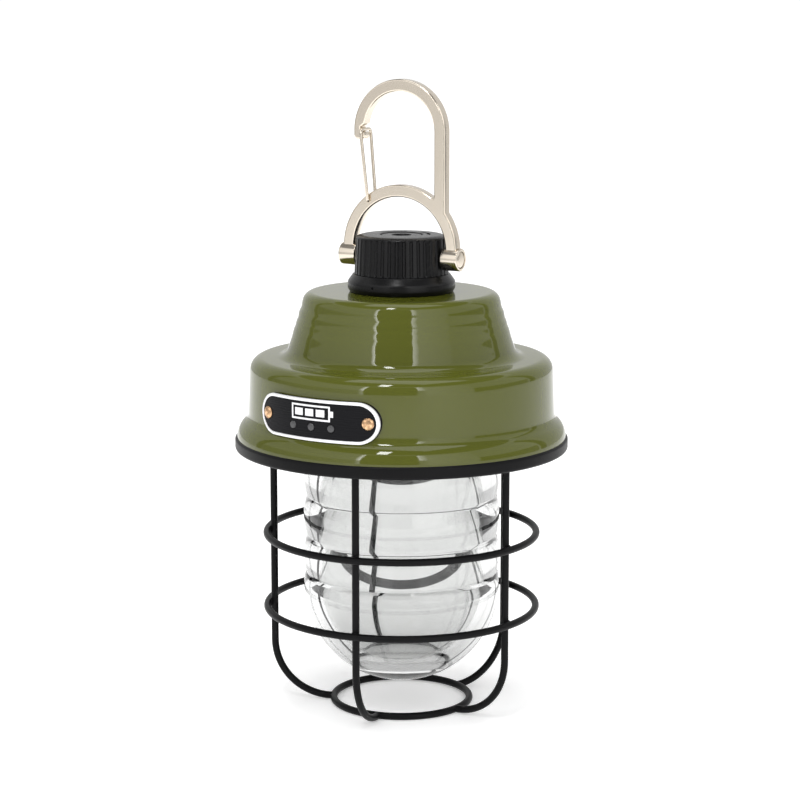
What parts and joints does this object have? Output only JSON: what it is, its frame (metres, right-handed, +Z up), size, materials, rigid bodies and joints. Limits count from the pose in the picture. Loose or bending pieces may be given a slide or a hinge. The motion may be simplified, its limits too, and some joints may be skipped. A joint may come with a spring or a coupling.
{
  "type": "camping lantern",
  "caption": "Rechargeable camping lantern with a stepped metal shell, caged clear lens, push-button cap and a folding bail with a sprung carabiner hook.",
  "frame": {"origin": "centre of the foot ring on the ground", "axes": "+Z up through the lens and cap; the badge side faces -Y; the bail swings about an axis along X"},
  "size_m": [0.092, 0.092, 0.1739],
  "materials": {
    "enamel_green": "glossy enamel",
    "black_wire": "satin powder coat",
    "black_plastic": "fine moulded texture",
    "nickel": "satin nickel plate",
    "clear_acrylic": "clear polished",
    "silicone": "matte",
    "badge_black": "printed black with bare border",
    "copper_pin": "hammered",
    "light_pipe": "smoked",
    "board": "solder mask",
    "white_plastic": "white moulded",
    "steel": "zinc plated",
    "aluminium_board": "white solder mask on aluminium",
    "phosphor": "light source",
    "cell_wrap": "shrink wrap",
    "grey_plastic": "moulded",
    "lead": "insulated"
  },
  "bodies": {
    "lamp": {"shell": "enamel_green", "shell_brackets": "steel", "rim_ring": "black_wire", "foot_ring": "black_wire", "hoop_upper": "black_wire", "hoop_lower": "black_wire", "rim_screws": "steel", "lens": "clear_acrylic", "lens_gasket": "silicone", "led_board": "aluminium_board", "led_chips": "phosphor", "reflector": "white_plastic", "chassis": "grey_plastic", "battery_cradle": "grey_plastic", "battery_cell": "cell_wrap", "battery_contacts": "nickel", "main_pcb": "board", "pcb_components": "black_plastic", "pcb_screws": "steel", "usb_port": "steel", "port_bezel": "black_plastic", "cover_hinge_pin": "steel", "indicator_board": "board", "indicator_lenses": "light_pipe", "badge_plate": "badge_black", "badge_pins": "copper_pin", "collar": "black_plastic", "mounting_stud": "steel", "stud_nut": "steel", "fluted_cap": "black_plastic", "cap_screws": "steel", "switch_board": "board", "tact_switch": "grey_plastic", "pivot_pins": "nickel", "switch_leads": "lead", "led_leads": "lead", "battery_leads": "lead", "cage_upright_1": "black_wire", "cage_upright_2": "black_wire", "cage_upright_3": "black_wire", "cage_upright_4": "black_wire", "cage_upright_5": "black_wire"},
    "bail": {"bail": "nickel"},
    "gate": {"gate_wire": "nickel"},
    "button": {"power_button": "black_plastic", "switch_plunger": "white_plastic"},
    "port_cover": {"port_cover": "silicone"}
  },
  "joints": [
    {"name": "bail_swing", "type": "hinge", "parent": "lamp", "child": "bail", "pos_m": [0, 0, 0.1258], "axis": [1, 0, 0], "range_deg": [-100, 100]},
    {"name": "gate_open", "type": "hinge", "parent": "bail", "child": "gate", "pos_m": [-0.0093, 0, 0.14075], "axis": [0, 1, 0], "range_deg": [0, 40], "stiffness_Nm_per_rad": 0.02, "springref_deg": -11.46},
    {"name": "button_press", "type": "slide", "parent": "lamp", "child": "button", "axis": [0, 0, 1], "range_m": [-0.0006, 0], "stiffness_N_per_m": 800, "springref_m": 0.0005},
    {"name": "port_cover_open", "type": "hinge", "parent": "lamp", "child": "port_cover", "pos_m": [-0.00626, 0.04466, 0.0882], "axis": [0, 0, 1], "range_deg": [0, 110]}
  ]
}
